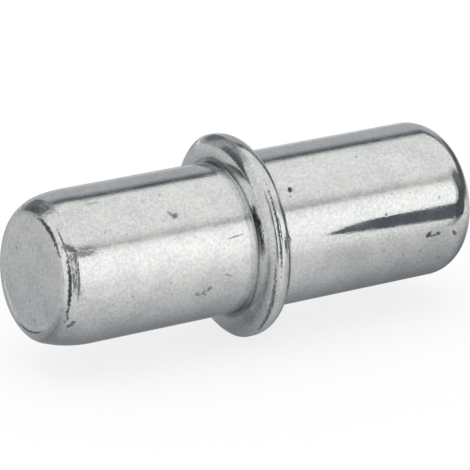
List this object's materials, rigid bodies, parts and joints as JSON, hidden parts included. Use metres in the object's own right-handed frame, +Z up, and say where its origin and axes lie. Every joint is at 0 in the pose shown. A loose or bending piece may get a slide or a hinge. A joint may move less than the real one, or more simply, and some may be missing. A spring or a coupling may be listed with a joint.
{
  "type": "shelf support pin",
  "caption": "Zinc-plated steel pin with a round collar: the plug end pushes into a hole in a cabinet side, and the stud end carries a shelf.",
  "frame": {"origin": "centre of the collar's seat, the face that meets the cabinet side, where the plug begins", "axes": "+X along the pin towards the plug's rounded nose, the stud and its crowned end towards -X, +Z up as fixed in an upright side"},
  "size_m": [0.0151, 0.0065, 0.0064],
  "materials": {
    "zinc_plate": "bright zinc plate on headed steel, fine grain with small pits"
  },
  "bodies": {
    "root": {"shelf_pin": "zinc_plate"}
  },
  "joints": []
}
